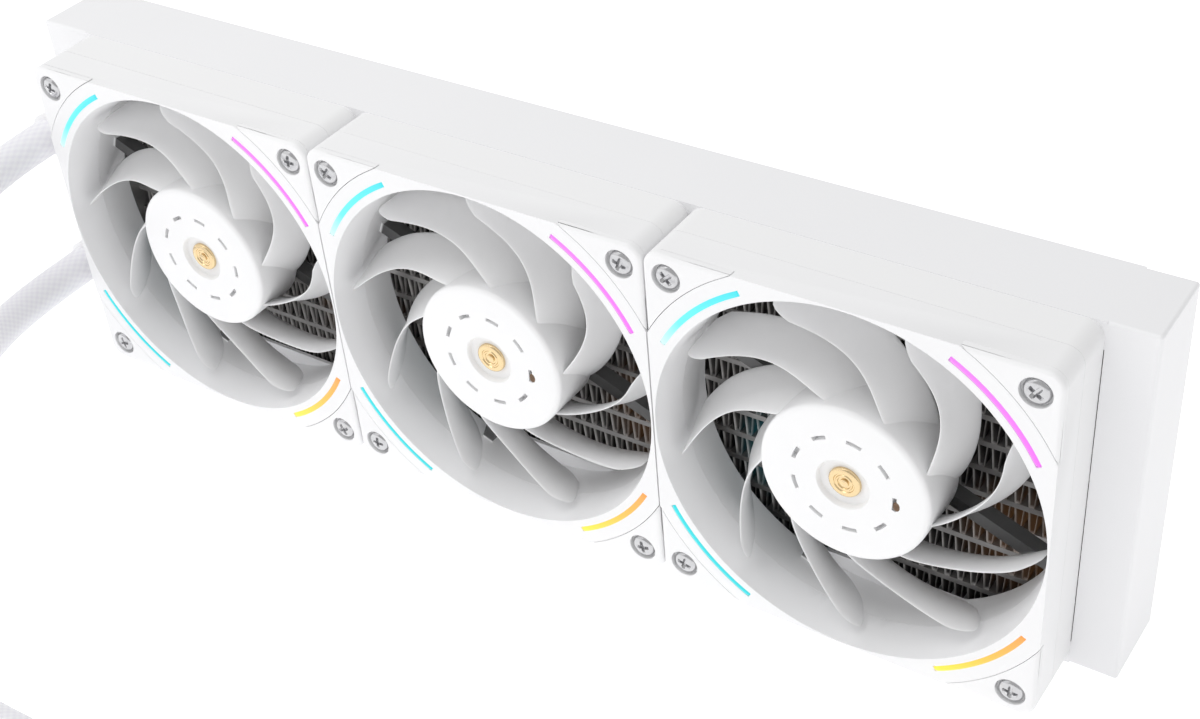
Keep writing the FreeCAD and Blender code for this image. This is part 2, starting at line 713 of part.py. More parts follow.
for number, (step, phase) in enumerate(zip((-1, 0, 1), FAN_PHASES), start=1):
    make_fan(number, step, phase)

# ---------------------------------------------------------------- hoses and their fittings
PORT_X = f"({LEFT} - <port_tank_length>/2)"
SIDES = (("upper", 1), ("lower", -1))
FLOOR = size_of("<hose_radius>") + 0.1
LIFT = size_of("<ferrule_radius>") + 0.35
port_x = size_of(PORT_X)
exit_y = size_of(f"{FRONT} - <ferrule_length>")
exit_z = {side: size_of(f"{MIDDLE} + {sign}*<port_spread>/2") for side, sign in SIDES}
HOSE_ROUTES = {
    "upper": [
        V(port_x, exit_y, exit_z["upper"]), V(port_x, -62.0, exit_z["upper"]),
        V(-189.8, -91.0, 73.4), V(-189.4, -111.0, 48.5), V(-189.2, -137.6, 27.4),
        V(-201.3, -161.1, 13.7), V(-223.9, -179.0, FLOOR), V(-252.7, -186.7, FLOOR),
        V(-281.8, -180.4, FLOOR), V(-304.9, -161.6, FLOOR), V(-317.3, -134.5, FLOOR),
        V(-316.8, -100.7, FLOOR), V(-313.4, -62.9, LIFT)],
    "lower": [
        V(port_x, exit_y, exit_z["lower"]), V(port_x, -57.0, exit_z["lower"]),
        V(-189.5, -82.8, 29.6), V(-189.5, -105.9, 15.9), V(-188.4, -133.0, 9.6),
        V(-176.1, -158.8, FLOOR), V(-153.7, -178.4, FLOOR), V(-123.6, -186.2, FLOOR),
        V(-90.5, -187.4, FLOOR), V(-55.8, -187.2, FLOOR), V(-19.5, -185.6, FLOOR),
        V(18.0, -182.6, FLOOR), V(55.8, -178.0, LIFT)],
}


def rounded_route(points):
    """Straight runs joined by tangent arcs; also the smallest arc radius and the length."""
    edges = []
    radii = []
    start = points[0]
    for before, corner, after in zip(points, points[1:], points[2:]):
        way_in = (corner - before).normalize()
        way_out = (after - corner).normalize()
        turn = way_in.getAngle(way_out)
        shorter = min((corner - before).Length, (after - corner).Length)
        setback = 0.45 * shorter
        radius = setback / math.tan(turn / 2)
        radii.append(radius)
        arc_start = corner - way_in * setback
        arc_end = corner + way_out * setback
        middle = corner + (way_out - way_in).normalize() * radius * (1 / math.cos(turn / 2) - 1)
        edges.append(Part.LineSegment(start, arc_start).toShape())
        edges.append(Part.Arc(arc_start, middle, arc_end).toShape())
        start = arc_end
    edges.append(Part.LineSegment(start, points[-1]).toShape())
    wire = Part.Wire(edges)
    return wire, min(radii), wire.Length


def tube_along(wire, outer, inner):
    """A round hose along the wire."""
    start = wire.Edges[0].valueAt(wire.Edges[0].FirstParameter)
    heading = wire.Edges[0].tangentAt(wire.Edges[0].FirstParameter)
    rings = []
    for radius in (outer, inner):
        ring = Part.Wire(Part.makeCircle(radius, start, heading))
        rings.append(wire.makePipeShell([ring], True, False, 2))
    return rings[0].cut(rings[1])


def elbow(spot, heading):
    """Swivel elbow: an arm out of the ferrule, a round body and a spigot that points up."""
    arm_foot = spot + heading * size_of("<ferrule_length>")
    middle = spot + heading * size_of("<ferrule_length> + <elbow_arm>")
    axis = V(middle.x, middle.y, 0)
    arm = drawn(Part.makeCylinder(size_of("<ferrule_radius> - 1.2"), size_of("<elbow_arm>"),
                                  arm_foot, heading))
    foot, top, tip = [size_of(f"<{name}>") for name in ("elbow_foot", "stem_top", "spigot_top")]
    stem = drawn(Part.makeCylinder(size_of("<elbow_radius>"), top - foot, axis + Z_AXIS * foot))
    collar_height = size_of("<collar_height>")
    collar = drawn(Part.makeCylinder(size_of("<collar_radius>"), collar_height,
                                     axis + Z_AXIS * (top - collar_height + 0.5)))
    spigot = drawn(Part.makeCylinder(size_of("<spigot_radius>"), tip - top, axis + Z_AXIS * top))
    half_groove = size_of("<seal_groove>")
    groove_foot = axis + Z_AXIS * (size_of("<seal_height>") - half_groove)
    groove = drawn(Part.makeCylinder(size_of("<collar_radius>"), 2 * half_groove, groove_foot).cut(
        Part.makeCylinder(size_of("<spigot_radius> - <seal_groove>"), 2 * half_groove,
                          groove_foot)))
    channel = size_of("<channel>")
    bore = drawn(Part.makeCylinder(channel, tip, V(middle.x, middle.y, middle.z)))
    inlet = drawn(Part.makeCylinder(channel, size_of("<elbow_arm> + 1"), arm_foot - heading,
                                    heading))
    return cut(fuse(arm, stem, collar, spigot), groove, bore, inlet), middle


for side, sign in SIDES:
    level = f"{MIDDLE} + {sign}*<port_spread>/2"
    node(cut(rod("<barb_radius>", f"{FRONT} - <ferrule_length>", f"{FRONT} + <tank_wall> + 2",
                 PORT_X, level),
             rod("<port_bore>", f"{FRONT} - <ferrule_length> - 1",
                 f"{FRONT} + <tank_wall> + 3", PORT_X, level)), f"{side}_port_stub")
    node(cut(rod("<ferrule_radius>", f"{FRONT} - <ferrule_length>", FRONT, PORT_X, level),
             rod("<barb_radius>", f"{FRONT} - <ferrule_length> - 1", f"{FRONT} + 1",
                 PORT_X, level)), f"{side}_port_ferrule")
    route = HOSE_ROUTES[side]
    wire, tightest, length = rounded_route(route)
    outer, inner = size_of("<hose_radius>"), size_of("<hose_bore>")
    hose = tube_along(wire, outer, inner)
    ideal = math.pi * (outer ** 2 - inner ** 2) * length
    print(f"{side} hose: length {length:.1f}, tightest arc {tightest:.1f}, "
          f"volume {hose.Volume / ideal:.4f} of its section times its length")
    node(drawn(hose), f"{side}_hose")
    last = wire.Edges[-1]
    heading = last.tangentAt(last.LastParameter)
    spot = route[-1]
    crimp = Part.makeCylinder(size_of("<ferrule_radius>"), size_of("<ferrule_length>"), spot,
                              heading)
    crimp = crimp.cut(Part.makeCylinder(size_of("<channel>"), size_of("<ferrule_length>"), spot,
                                        heading))
    node(drawn(crimp), f"{side}_end_ferrule")
    turning, middle = elbow(spot, heading)
    node(turning, f"{side}_elbow")
    seal = Part.makeTorus(size_of("<spigot_radius> - 0.2"), size_of("<seal_thick>"),
                          V(middle.x, middle.y, size_of("<seal_height>")))
    node(drawn(seal), f"{side}_spigot_seal")

# ---------------------------------------------------------------- check and write
doc.recompute()
for thing in doc.Objects:
    state = set(thing.State)
    assert not state & {"Invalid", "Error"}, f"{thing.Name} ({thing.Label}) is {state}"
os.makedirs("parts", exist_ok=True)
for thing in nodes:
    shape = thing.Shape
    assert not shape.isNull() and shape.isValid(), f"{thing.Label} has no valid shape"
    shape.exportStep(os.path.join("parts", f"{thing.Label}.step"))
    box_of = shape.BoundBox
    print(f"{thing.Label}: {len(shape.Solids)} solids, x {box_of.XMin:.1f}..{box_of.XMax:.1f}, "
          f"y {box_of.YMin:.1f}..{box_of.YMax:.1f}, z {box_of.ZMin:.1f}..{box_of.ZMax:.1f}")
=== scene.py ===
"""Liquid cooling radiator with three lit fans and two sleeved hoses, finished around its frame.

Metres. X runs along the radiator, +Y points to its back, +Z is up.
"""
import math

import bmesh
import bpy
import numpy as np
from mathutils import Matrix, Vector


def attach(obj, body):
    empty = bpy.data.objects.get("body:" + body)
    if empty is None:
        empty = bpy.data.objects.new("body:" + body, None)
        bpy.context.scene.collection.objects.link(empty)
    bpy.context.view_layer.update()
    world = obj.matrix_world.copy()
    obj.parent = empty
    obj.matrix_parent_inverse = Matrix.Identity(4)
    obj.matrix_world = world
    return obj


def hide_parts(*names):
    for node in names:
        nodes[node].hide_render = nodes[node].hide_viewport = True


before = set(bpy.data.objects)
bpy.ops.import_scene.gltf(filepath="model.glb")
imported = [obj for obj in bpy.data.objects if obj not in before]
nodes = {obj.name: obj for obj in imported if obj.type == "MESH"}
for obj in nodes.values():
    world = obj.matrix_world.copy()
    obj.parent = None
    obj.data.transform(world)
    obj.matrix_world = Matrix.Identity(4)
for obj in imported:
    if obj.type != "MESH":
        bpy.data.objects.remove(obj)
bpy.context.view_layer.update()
MM = 0.001
FAN_PITCH = 0.12                  # between the axes of neighbouring fans, in metres
AXIS_HEIGHT = 0.06                # of the fans' axes above the table, in metres

# ---------------------------------------------------------------- camera, floor and light
# The radiator stands on a plain white table in a pale room. One large soft lamp hangs above its
# left half, a weaker one fills its front from the left, and it is looked at from above its front.
camera = bpy.data.objects.new("Camera", bpy.data.cameras.new("Camera"))
camera.data.lens = 54.74
camera.data.sensor_width = 36.0
camera.data.clip_start = 0.01
right = Vector((0.8313, 0.5508, -0.0758))
up = Vector((-0.2833, 0.5369, 0.7947))
ahead = Vector((-0.4784, 0.6391, -0.6023))
camera.matrix_world = Matrix.Translation((0.2930, -0.3723, 0.3912)) @ Matrix(
    (right, up, -ahead)).transposed().to_4x4()
bpy.context.collection.objects.link(camera)
bpy.context.scene.camera = camera


class Wire:
    """The output of a shader node. Its operators add Math nodes, so 1 - mask works."""

    def __init__(self, tree, socket):
        self.tree = tree
        self.socket = socket

    def node(self, kind, settings=(), values=(), out=0):
        """Add a node of that kind, set it up, then give its sockets their values or links."""
        new = self.tree.nodes.new(kind)
        settings = dict(settings)
        stops = settings.pop("stops", ())
        for name, value in settings.items():
            setattr(new, name, value)
        for number, (place, colour) in enumerate(stops):
            ramp = new.color_ramp.elements
            stop = ramp[number] if number < 2 else ramp.new(place)
            stop.position = place
            stop.color = (*colour, 1.0)
        for name, value in dict(values).items():
            if isinstance(value, Wire):
                self.tree.links.new(value.socket, new.inputs[name])
            else:
                new.inputs[name].default_value = value
        return Wire(self.tree, new.outputs[out])

    def maths(self, operation, first, second=0.0):
        return self.node("ShaderNodeMath", {"operation": operation}, {0: first, 1: second})

    def __add__(self, other):
        return self.maths("ADD", self, other)

    __radd__ = __add__

    def __sub__(self, other):
        return self.maths("SUBTRACT", self, other)

    def __rsub__(self, other):
        return self.maths("SUBTRACT", other, self)

    def __mul__(self, other):
        return self.maths("MULTIPLY", self, other)

    __rmul__ = __mul__

    def __truediv__(self, other):
        return self.maths("DIVIDE", self, other)

    def __pow__(self, other):
        return self.maths("POWER", self, other)

    def sine(self):
        """The sine of the value, taken in radians."""
        return self.maths("SINE", self)

    def remainder(self, period):
        """What is left of the value after whole periods."""
        return self.maths("MODULO", self, period)

    def clipped(self):
        """The value kept between 0 and 1."""
        return self.node("ShaderNodeClamp", (), {0: self})

    def noise(self, scale, detail=2.0):
        """Noise with features of 1/scale metres, read at this vector."""
        return self.node("ShaderNodeTexNoise", (), {"Vector": self, "Scale": scale,
                                                    "Detail": detail})

    def axis(self, number):
        """One component of this vector."""
        return self.node("ShaderNodeSeparateXYZ", (), {0: self}, out=number)

    def blend(self, low, high):
        """The colour low where this value is 0 and high where it is 1."""
        return self.node("ShaderNodeMix", {"data_type": "RGBA"}, {0: self, 6: low, 7: high},
                         out=2)

    def mixed(self, other, share, blend_type="MIX"):
        """This colour and that share of the other one."""
        return self.node("ShaderNodeMix", {"data_type": "RGBA", "blend_type": blend_type},
                         {0: share, 6: self, 7: other}, out=2)


class Finish:
    """One material: constants go straight on its shader, and feed() links what varies."""

    def __init__(self, name, **constants):
        self.material = bpy.data.materials.new(name)
        self.material.use_nodes = True
        self.tree = self.material.node_tree
        self.shader = self.tree.nodes["Principled BSDF"]
        for socket, value in constants.items():
            self.shader.inputs[socket.replace("_", " ")].default_value = value
        place = self.tree.nodes.new("ShaderNodeTexCoord")
        self.place = Wire(self.tree, place.outputs["Object"])
        self.across = Wire(self.tree, place.outputs["UV"])

    def feed(self, socket, wire):
        self.tree.links.new(wire.socket, self.shader.inputs[socket])

    def emboss(self, height, distance, strength=1.0):
        """Raise the surface by height times distance, in metres."""
        self.feed("Normal", self.place.node("ShaderNodeBump", (), {
            "Height": height, "Distance": distance, "Strength": strength}))


def rgb(*values):
    """A colour with full alpha."""
    return (*values, 1.0)


def across_each_fan(place):
    """The distance along X from the axis of the nearest fan, in metres."""
    return (place.axis(0) + 3.5 * FAN_PITCH).remainder(FAN_PITCH) - FAN_PITCH / 2


floor_finish = Finish("table_top", Base_Color=rgb(0.93, 0.93, 0.935), Roughness=0.7,
                      Emission_Color=rgb(1.0, 1.0, 1.0), Emission_Strength=0.5)
floor_mesh = bpy.data.meshes.new("table")
floor_mesh.from_pydata([(-4, -4, 0), (4, -4, 0), (4, 4, 0), (-4, 4, 0)], [], [(0, 1, 2, 3)])
floor = bpy.data.objects.new("table", floor_mesh)
floor_mesh.materials.append(floor_finish.material)
bpy.context.collection.objects.link(floor)

world = bpy.data.worlds.new("room")
world.use_nodes = True
world.node_tree.nodes["Background"].inputs["Color"].default_value = rgb(1.0, 1.0, 1.0)
world.node_tree.nodes["Background"].inputs["Strength"].default_value = 0.66
bpy.context.scene.world = world
bpy.context.scene.view_settings.view_transform = "Standard"


def lamp(name, spot, target, width, power):
    """A square soft lamp at spot that faces target."""
    light = bpy.data.lights.new(name, "AREA")
    light.shape = "SQUARE"
    light.size = width
    light.energy = power
    holder = bpy.data.objects.new(name, light)
    holder.location = spot
    holder.rotation_euler = (Vector(target) - Vector(spot)).to_track_quat("-Z", "Y").to_euler()
    bpy.context.collection.objects.link(holder)


lamp("key", (-0.5, -0.25, 1.5), (0, 0, 0.05), 1.1, 8.0)
lamp("fill", (-1.05, -0.9, 0.7), (0, 0, 0.05), 1.3, 3.0)

# ---------------------------------------------------------------- hoses
# Two rubber hoses in a white braided sleeve, pushed on the barbed port stubs and crimped.
# They leave the ports towards the front and drop to the table, where the upper one curls back
# on the left and the lower one runs along in front; each ends in a ferrule and a swivel elbow.
HOSE_RADIUS = 6.25 * MM
FLOOR = 6.35                      # height of the middle of a hose that lies on the table
LIFT = 8.1                        # and of its end, held up by the elbow
HOSE_ROUTES = {
    "upper": [
        (-190, -31.5, 86.5), (-190, -62.0, 86.5),
        (-189.8, -91.0, 73.4), (-189.4, -111.0, 48.5), (-189.2, -137.6, 27.4),
        (-201.3, -161.1, 13.7), (-223.9, -179.0, FLOOR), (-252.7, -186.7, FLOOR),
        (-281.8, -180.4, FLOOR), (-304.9, -161.6, FLOOR), (-317.3, -134.5, FLOOR),
        (-316.8, -100.7, FLOOR), (-313.4, -62.9, LIFT)],
    "lower": [
        (-190, -31.5, 33.5), (-190, -57.0, 33.5),
        (-189.5, -82.8, 29.6), (-189.5, -105.9, 15.9), (-188.4, -133.0, 9.6),
        (-176.1, -158.8, FLOOR), (-153.7, -178.4, FLOOR), (-123.6, -187.4, FLOOR),
        (-90.5, -189.8, FLOOR), (-55.8, -189.6, FLOOR), (-19.5, -187.0, FLOOR),
        (18.0, -182.6, FLOOR), (55.8, -178.0, LIFT)],
}
WEAVES_ALONG = 150.0
WEAVES_AROUND = 16.0

sleeve = Finish("braided_sleeve", Roughness=0.62, Sheen_Weight=0.25)
along, around = sleeve.across.axis(0), sleeve.across.axis(1)
strands = 0
for turn in (1, -1):
    phase = along * WEAVES_ALONG + around * (WEAVES_AROUND * turn)
    strands = strands + (phase * (2 * math.pi)).sine()
weave = (strands * 0.25 + 0.5).clipped()
sleeve.feed("Base Color", weave.blend(rgb(0.80, 0.79, 0.84), rgb(0.88, 0.88, 0.90)))
sleeve.emboss(weave, 0.00012, 0.4)

for side, route in HOSE_ROUTES.items():
    curve = bpy.data.curves.new(f"{side}_hose_sleeve", "CURVE")
    curve.dimensions = "3D"
    line = curve.splines.new("NURBS")
    line.points.add(len(route) - 1)
    for point, spot in zip(line.points, route):
        point.co = (*(value * MM for value in spot), 1.0)
    line.order_u = 3
    line.use_endpoint_u = True
    curve.resolution_u = 24
    curve.bevel_depth = HOSE_RADIUS
    curve.bevel_resolution = 8
    curve.use_fill_caps = True
    curve.materials.append(sleeve.material)
    hose = bpy.data.objects.new(f"{side}_hose_sleeve", curve)
    bpy.context.collection.objects.link(hose)
    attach(hose, "root")
    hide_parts(f"{side}_hose")

# ---------------------------------------------------------------- hose fittings
# Smooth white mouldings and painted ferrules crimped on the hose ends; black O-ring seals.
fitting = Finish("smooth_white_moulding", Coat_Weight=0.2, Coat_Roughness=0.2)
cloud = fitting.place.noise(90, 3)
fitting.feed("Base Color", cloud.blend(rgb(0.84, 0.84, 0.85), rgb(0.88, 0.88, 0.885)))
fitting.feed("Roughness", cloud * 0.15 + 0.25)
rubber = Finish("seal_rubber", Base_Color=rgb(0.02, 0.02, 0.02))
rubber.feed("Roughness", rubber.place.noise(400) * 0.2 + 0.45)


def paint(node_name, finish):
    """Give a frame piece its material."""
    node = nodes[node_name]
    node.data.materials.clear()
    node.data.materials.append(finish.material)


for side in HOSE_ROUTES:
    for piece in ("port_stub", "port_ferrule", "end_ferrule", "elbow"):
        paint(f"{side}_{piece}", fitting)
    paint(f"{side}_spigot_seal", rubber)

# ---------------------------------------------------------------- tanks and side rails
# Folded and brazed aluminium sheet with a satin white powder coat, which is a little thicker
# and rounder along the folds. The slotted plates and the divider inside are bare metal.
coat = Finish("powder_coat", Coat_Weight=0.08, Coat_Roughness=0.35)
grain = coat.place.noise(2600, 2)
drift = coat.place.noise(14, 2)
coat.feed("Base Color", (grain * 0.5 + drift * 0.5).blend(rgb(0.83, 0.83, 0.845),
                                                          rgb(0.90, 0.90, 0.91)))
coat.feed("Roughness", grain * 0.15 + 0.42)
coat.emboss(grain, 0.00004, 0.35)
bare = Finish("brazed_aluminium", Metallic=0.7)
blotch = bare.place.noise(180, 4)
bare.feed("Base Color", blotch.blend(rgb(0.30, 0.29, 0.29), rgb(0.50, 0.49, 0.48)))
bare.feed("Roughness", blotch * 0.25 + 0.35)


def softened(node_name, name, finish, width):
    """A copy of a frame piece with its doubles merged and its edges rounded by width."""
    mesh = nodes[node_name].data.copy()
    mesh.name = name
    shell = bmesh.new()
    shell.from_mesh(mesh)
    bmesh.ops.remove_doubles(shell, verts=shell.verts, dist=1e-6)
    bmesh.ops.dissolve_limit(shell, angle_limit=math.radians(1.0), verts=shell.verts,
                             edges=shell.edges)
    shell.to_mesh(mesh)
    shell.free()
    mesh.materials.clear()
    mesh.materials.append(finish.material)
    piece = bpy.data.objects.new(name, mesh)
    bpy.context.collection.objects.link(piece)
    mesh.polygons.foreach_set("use_smooth", [True] * len(mesh.polygons))
    mesh.set_sharp_from_angle(angle=math.radians(30))
    bevel = piece.modifiers.new("rounded", "BEVEL")
    bevel.width = width
    bevel.segments = 3
    bevel.limit_method = "ANGLE"
    bevel.angle_limit = math.radians(40)
    bevel.harden_normals = True
    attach(piece, "root")
    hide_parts(node_name)


for node_name in ("port_tank", "return_tank", "top_side_rail", "bottom_side_rail"):
    paint(node_name, coat)
for node_name in ("port_header", "return_header", "flow_divider", "coolant_tubes"):
    paint(node_name, bare)

# ---------------------------------------------------------------- fin strips
# Thin aluminium strip folded back and forth and brazed between the flat tubes, one strip in
# each of the thirteen gaps. Beside each hub a painted glow stands in for light from the fans'
# lit rings, and painted glints lighten its front and back edges.
FIN_PITCH = 2.05
FIN_SHEET = 0.20
TUBE_PITCH = 9.14
TUBE_HEIGHT = 1.8
FIN_LEAN = 0.55                   # how far each wall leans along X
FIN_HALF_LENGTH = 176.0
FIN_HALF_DEPTH = 7.9
FIN_GAPS = 13
RADIATOR_HEIGHT = 120.0
RAIL_SHEET = 1.2
GLINT_START = 0.0066               # metres from the middle to where the painted edge glints begin
GLINT_FADE = 0.0012
PAINTED_GLOW_REACH = 0.022
fin_metal = Finish("fin_strip", Metallic=0.55, Roughness=0.42, Emission_Strength=0.5)
spot = fin_metal.place
column = across_each_fan(spot)
level = spot.axis(2) - AXIS_HEIGHT


# Painted glow: emission painted on the strip stands in for light from the fans' lit rings.
def painted_glow_at(x, z):
    """1 at a point beside each hub, falling to 0 at PAINTED_GLOW_REACH from it."""
    away = ((column - x) ** 2 + (level - z) ** 2) ** 0.5
    return (1 - away / PAINTED_GLOW_REACH).clipped()


streak = spot.noise(420, 3)
# Painted glint: the strip's front and back edges are lightened as painted highlights; between
# them it is dark grey.
front_glint = ((-GLINT_START - spot.axis(1)) / GLINT_FADE).clipped()
back_glint = ((spot.axis(1) - GLINT_START) / GLINT_FADE).clipped()
painted_edge_glint = (front_glint + back_glint) * (streak * 0.5 + 0.5)
fin_metal.feed("Base Color", painted_edge_glint.blend(rgb(0.050, 0.046, 0.044), rgb(0.62, 0.60, 0.585)))
# The painted glow, cyan and orange, is fixed in the strip and shows from its back too.
painted_cyan_glow = painted_glow_at(-0.030, -0.026).blend(rgb(0, 0, 0), rgb(0.0, 0.16, 0.20))
painted_orange_glow = painted_glow_at(0.040, -0.028).blend(rgb(0, 0, 0), rgb(0.10, 0.045, 0.015))
fin_metal.feed("Emission Color", painted_cyan_glow.mixed(painted_orange_glow, 1.0, "ADD"))


def solid_from(name, sheets, finishes, close=True):
    """One object from sheets of points.

    Each sheet is (points, wrap_rows, wrap_columns, finish number, uv or None), where points
    is an array of rows by columns by 3, and neighbouring points are joined by four-sided faces.
    """
    corners, faces, marks, uvs = [], [], [], []
    count = 0
    for points, wrap_rows, wrap_columns, finish_number, uv in sheets:
        rows, columns = points.shape[:2]
        index = np.arange(rows * columns).reshape(rows, columns) + count
        if wrap_rows:
            index = np.vstack([index, index[:1]])
        if wrap_columns:
            index = np.hstack([index, index[:, :1]])
        quads = np.stack([index[:-1, :-1], index[1:, :-1], index[1:, 1:], index[:-1, 1:]],
                         axis=-1).reshape(-1, 4)
        corners.append(points.reshape(-1, 3))
        faces.append(quads)
        marks.append(np.full(len(quads), finish_number))
        uvs.append(np.zeros((rows * columns, 2)) if uv is None else uv.reshape(-1, 2))
        count += rows * columns
    corners, faces, marks, uvs = (np.concatenate(part) for part in (corners, faces, marks, uvs))
    mesh = bpy.data.meshes.new(name)
    mesh.from_pydata((corners * MM).tolist(), [], faces.tolist())
    mesh.polygons.foreach_set("material_index", marks)
    mesh.uv_layers.new(name="UVMap").data.foreach_set("uv", uvs[faces.ravel()].ravel())
    for finish in finishes:
        mesh.materials.append(finish.material)
    shell = bmesh.new()
    shell.from_mesh(mesh)
    bmesh.ops.remove_doubles(shell, verts=shell.verts, dist=2e-6)
    if close:
        bmesh.ops.recalc_face_normals(shell, faces=shell.faces)
    shell.to_mesh(mesh)
    shell.free()
    mesh.polygons.foreach_set("use_smooth", [True] * len(mesh.polygons))
    mesh.set_sharp_from_angle(angle=math.radians(38))
    piece = bpy.data.objects.new(name, mesh)
    bpy.context.collection.objects.link(piece)
    return piece


walls = np.arange(-FIN_HALF_LENGTH, FIN_HALF_LENGTH + 1, FIN_PITCH)
rising = np.arange(len(walls)) % 2 == 0
fold_x = np.stack([walls, walls + FIN_LEAN], axis=1).ravel()
sheets = []
for gap in range(FIN_GAPS):
    middle = RADIATOR_HEIGHT / 2 + (gap - FIN_GAPS // 2) * TUBE_PITCH
    low = middle - (TUBE_PITCH - TUBE_HEIGHT) / 2
    high = middle + (TUBE_PITCH - TUBE_HEIGHT) / 2
    if gap == 0:
        low = RAIL_SHEET
    if gap == FIN_GAPS - 1:
        high = RADIATOR_HEIGHT - RAIL_SHEET
    fold_z = np.stack([np.where(rising, low, high), np.where(rising, high, low)], axis=1).ravel()
    shift = 0.6 * math.sin(gap * 2.3)
    edges = [np.stack([fold_x + shift, np.full_like(fold_x, depth), fold_z], axis=1)
             for depth in (-FIN_HALF_DEPTH, FIN_HALF_DEPTH)]
    sheets.append((np.stack(edges, axis=0), False, False, 0, None))
fins = solid_from("fin_strip_pack", sheets, [fin_metal], close=False)
thick = fins.modifiers.new("sheet", "SOLIDIFY")
thick.thickness = FIN_SHEET * MM
thick.offset = 0.0
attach(fins, "root")
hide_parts("fin_strips")

# ---------------------------------------------------------------- fan housings
# Each housing is two white mouldings with a fine matt texture: the square front half with a
# flared bore, and the back half with the motor cup, which is painted dark grey deep in the bore,
# struts and all, as painted shade.
# Four clipped caps close its corners.
matt = Finish("matt_white_moulding")
speck = matt.place.noise(3400, 2)
wash = matt.place.noise(22, 2)
matt.feed("Base Color", wash.blend(rgb(0.85, 0.85, 0.86), rgb(0.89, 0.89, 0.895)))
matt.feed("Roughness", speck * 0.15 + 0.45)
matt.emboss(speck, 0.00003, 0.3)
PAINTED_SHADE_REACH = 0.0572              # metres from the axis within which the bore is painted dark grey as painted shade
PAINTED_SHADE_FRONT = -0.0200
back_matt_painted_shade = Finish("matt_white_back_moulding_painted_shade", Roughness=0.5)
inner = back_matt_painted_shade.place
# Painted shade: deep in the bore the back moulding is painted dark grey, where its white struts
# lie in shade.
from_axis = (across_each_fan(inner) ** 2 + (inner.axis(2) - AXIS_HEIGHT) ** 2) ** 0.5
within = ((PAINTED_SHADE_REACH - from_axis) / 0.0006).clipped()
painted_bore_shade = within * ((inner.axis(1) - PAINTED_SHADE_FRONT) / 0.001).clipped()
back_matt_painted_shade.feed("Base Color", painted_bore_shade.blend(rgb(0.87, 0.87, 0.875), rgb(0.10, 0.10, 0.10)))
FAN_X = (-120.0, 0.0, 120.0)
for number in (1, 2, 3):
    softened(f"fan_{number}_bezel", f"fan_{number}_front_moulding", matt,
             0.7 * MM)
    softened(f"fan_{number}_corner_caps", f"fan_{number}_caps", matt, 0.25 * MM)
    paint(f"fan_{number}_frame", back_matt_painted_shade)

# ---------------------------------------------------------------- light arcs
# Milky light pipes pressed into curved slots beside the caps, lit from behind in four hues.
diffuser = Finish("lit_diffuser", Roughness=0.3, Emission_Strength=1.0)
place_in_row = diffuser.across.axis(0)
hues = place_in_row.node("ShaderNodeValToRGB", {"stops": (
    (0.00, (0.90, 0.28, 0.04)), (0.10, (0.92, 0.42, 0.03)), (0.245, (0.95, 0.72, 0.02)),
    (0.255, (0.70, 0.18, 0.72)), (0.495, (0.72, 0.12, 0.74)),
    (0.505, (0.55, 0.86, 0.88)), (0.58, (0.10, 0.74, 0.80)), (0.745, (0.02, 0.62, 0.68)),
    (0.755, (0.00, 0.56, 0.60)), (1.0, (0.00, 0.60, 0.64)))},
    {0: place_in_row})
diffuser.feed("Base Color", hues.mixed(rgb(0.05, 0.05, 0.05), 0.75))
diffuser.feed("Emission Color", hues)
LIGHT_RADIUS = 62.6
LIGHT_SPAN = 16.5                 # degrees to each side of a corner's diagonal
LIGHT_STEPS = 49
LIGHT_FACE = -38.38
LIGHT_BACK = -36.1
# corner angle, width and number in the row of hues
ARCS = ((-45.0, 2.3, 0), (45.0, 1.5, 1), (135.0, 2.4, 2), (-135.0, 1.5, 3))


def lit_arc(x, corner, width, hue):
    """A strip along a circle about the fan's axis, domed across: bulge is 1 - s squared."""
    angle = np.radians(corner + np.linspace(-LIGHT_SPAN, LIGHT_SPAN, LIGHT_STEPS))
    side = np.linspace(-1, 1, 7)
    taper = np.sqrt(np.clip(1 - np.abs(np.linspace(-1, 1, LIGHT_STEPS)) ** 24, 0, 1))
    radius = LIGHT_RADIUS + side[None, :] * width / 2 * taper[:, None]
    depth = LIGHT_FACE - 0.27 * (1 - side[None, :] ** 2) * taper[:, None]
    points = np.stack([x + radius * np.cos(angle)[:, None], depth + 0 * radius,
                       60 + radius * np.sin(angle)[:, None]], axis=-1)
    share = hue * 0.25 + 0.01 + 0.23 * np.linspace(1, 0, LIGHT_STEPS)
    uv = np.stack([share[:, None] + 0 * side, 0 * share[:, None] + (side + 1) / 2], axis=-1)
    return points, False, False, 0, uv


def lit_underside(sheet):
    """The same strip flattened at LIGHT_BACK, to close it."""
    points = sheet[0].copy()
    points[:, :, 1] = LIGHT_BACK
    return points, False, False, 0, sheet[4]


for number, x in enumerate(FAN_X, start=1):
    sheets = []
    for arc in ARCS:
        top = lit_arc(x, *arc)
        bottom = lit_underside(top)
        sheets += [top, bottom]
        for rows in (slice(0, 1), slice(-1, None)):
            end = np.concatenate([top[0][rows], bottom[0][rows]])
            sheets.append((end, False, False, 0, np.concatenate([top[4][rows], top[4][rows]])))
        for columns in (slice(0, 1), slice(-1, None)):
            rim = np.concatenate([top[0][:, columns], bottom[0][:, columns]], axis=1)
            uv = np.concatenate([top[4][:, columns], top[4][:, columns]], axis=1)
            sheets.append((rim, False, False, 0, uv))
    piece = solid_from(f"fan_{number}_lit_arcs", sheets, [diffuser])
    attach(piece, "root")
    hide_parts(f"fan_{number}_light_guides")

# ---------------------------------------------------------------- screws
# Bright plated pan head screws with a cross recess, one through each corner of a fan.
plated = Finish("bright_plating", Metallic=1.0, Base_Color=rgb(0.52, 0.52, 0.53))
scuff = plated.place.noise(900, 3)
plated.feed("Roughness", scuff * 0.25 + 0.08)
SCREW_RADIUS = 3.75
SCREW_SEAT = -36.75               # where a head's underside rests, along Y
SLOT_HALF_WIDTH = 0.62
SLOT_HALF_LENGTH = 2.3


